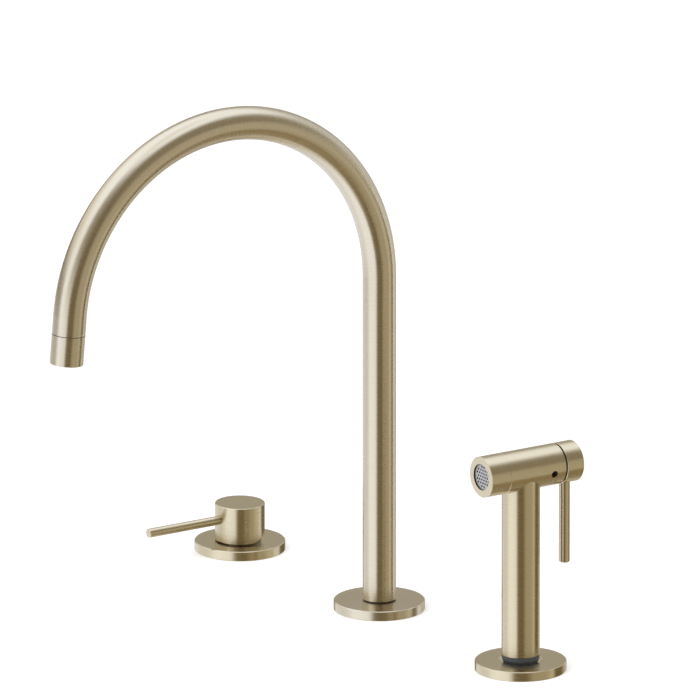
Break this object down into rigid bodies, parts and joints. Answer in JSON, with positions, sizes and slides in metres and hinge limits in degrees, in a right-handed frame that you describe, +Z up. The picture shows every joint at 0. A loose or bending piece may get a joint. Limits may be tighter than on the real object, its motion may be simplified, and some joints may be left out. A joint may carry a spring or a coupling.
{
  "type": "side spray kitchen faucet",
  "caption": "Deck-mounted kitchen faucet set: lever mixer, swivelling arc spout and lift-out side spray on round base discs, in brushed pale brass.",
  "frame": {"origin": "deck surface on the axis of the spout column", "axes": "+Z up along the column, +X along the row from the mixer to the side spray, -Y the way the spout, the lever and the spray head point"},
  "size_m": [0.393, 0.2968, 0.4558],
  "materials": {
    "brushed_brass": "fine brushed, pale champagne",
    "satin_neck": "dark satin",
    "raw_brass": "machined",
    "steel": "plain steel",
    "black_oxide": "blackened screws",
    "rubber": "matt black",
    "grey_plastic": "matt dark grey",
    "face_plastic": "light grey",
    "white_plastic": "moulded",
    "ceramic": "ground ceramic"
  },
  "bodies": {
    "deck_units": {"cartridge_base": "white_plastic", "cartridge_housing": "white_plastic", "cartridge_port_seals": "rubber", "ceramic_fixed_disc": "ceramic", "diverter_body": "white_plastic", "inlet_tee": "raw_brass", "mixer_base_disc": "brushed_brass", "mixer_base_gasket": "rubber", "mixer_clamp_washer": "steel", "mixer_dome_nut": "satin_neck", "mixer_lock_nut": "raw_brass", "mixer_rubber_washer": "rubber", "mixer_valve_body": "raw_brass", "spout_base_disc": "brushed_brass", "spout_base_gasket": "rubber", "spout_clamp_washer": "steel", "spout_lock_nut": "raw_brass", "spout_rubber_washer": "rubber", "spout_shank": "raw_brass", "spout_swivel_o_rings": "rubber", "spout_thrust_washer": "grey_plastic", "spray_base_disc": "brushed_brass", "spray_base_gasket": "rubber", "spray_clamp_washer": "steel", "spray_lock_nut": "raw_brass", "spray_rubber_washer": "rubber", "spray_socket_liner": "grey_plastic", "spray_socket_shank": "raw_brass"},
    "swivel_spout": {"spout_tube": "brushed_brass", "spout_swivel_sleeve": "raw_brass", "spout_retaining_screw": "steel", "outlet_collar": "brushed_brass", "aerator_insert": "face_plastic", "aerator_seal": "rubber"},
    "diverter_spool": {"diverter_spool": "white_plastic"},
    "mixer_rotor": {"stem_rotor": "white_plastic", "stem_pin": "steel"},
    "mixer_handle": {"mixer_knob": "brushed_brass", "mixer_lever": "brushed_brass", "lever_stem": "steel", "mixer_knob_screw": "black_oxide"},
    "mixing_disc": {"ceramic_moving_disc": "ceramic", "disc_carrier": "white_plastic"},
    "hose_end": {"hose_swivel_nipple": "raw_brass", "hose_swivel_o_rings": "rubber", "check_valve": "white_plastic"},
    "handset": {"spray_handle_body": "brushed_brass", "spray_guide_sleeve": "grey_plastic", "nozzle_collar": "brushed_brass", "spray_face_insert": "face_plastic", "spray_face_seal": "rubber", "spray_valve_body": "white_plastic", "spray_head_screw": "black_oxide", "spray_valve_spring": "steel"},
    "trigger": {"trigger_cap": "brushed_brass", "trigger_lever": "brushed_brass", "trigger_pin": "steel"},
    "spray_valve": {"spray_valve_stem": "steel", "spray_valve_seal": "rubber"}
  },
  "joints": [
    {"name": "spout_swivel", "type": "hinge", "parent": "deck_units", "child": "swivel_spout", "pos_m": [0, 0, 0], "axis": [0, 0, 1], "continuous": true},
    {"name": "diverter_shift", "type": "slide", "parent": "deck_units", "child": "diverter_spool", "axis": [0, 0, 1], "range_m": [0, 0.003]},
    {"name": "mixer_turn", "type": "hinge", "parent": "deck_units", "child": "mixer_rotor", "pos_m": [-0.1665, 0, 0.008], "axis": [0, 0, 1], "range_deg": [-50, 50]},
    {"name": "mixer_lift", "type": "hinge", "parent": "mixer_rotor", "child": "mixer_handle", "pos_m": [-0.1665, 0, 0.008], "axis": [-1, 0, 0], "range_deg": [0, 17]},
    {"name": "mixing_disc_slide", "type": "slide", "parent": "mixer_rotor", "child": "mixing_disc", "axis": [0, -1, 0], "range_m": [0, 0.0035]},
    {"name": "spray_lift", "type": "slide", "parent": "deck_units", "child": "hose_end", "axis": [0, 0, 1], "range_m": [0, 0.3]},
    {"name": "spray_swivel", "type": "hinge", "parent": "hose_end", "child": "handset", "pos_m": [0.1665, 0, 0], "axis": [0, 0, 1], "continuous": true},
    {"name": "trigger_squeeze", "type": "hinge", "parent": "handset", "child": "trigger", "pos_m": [0.1665, 0.031, 0.1284], "axis": [-1, 0, 0], "range_deg": [0, 9], "stiffness_Nm_per_rad": 0.12, "springref_deg": -8.59},
    {"name": "spray_valve_slide", "type": "slide", "parent": "handset", "child": "spray_valve", "axis": [0, 1, 0], "range_m": [0, 0.0012], "deforming": ["spray_valve_spring"]}
  ],
  "couplings": [
    {"joint": "mixing_disc_slide", "follows": "mixer_lift", "m_per_rad": 0.0115},
    {"joint": "spray_valve_slide", "follows": "trigger_squeeze", "m_per_rad": 0.007}
  ]
}
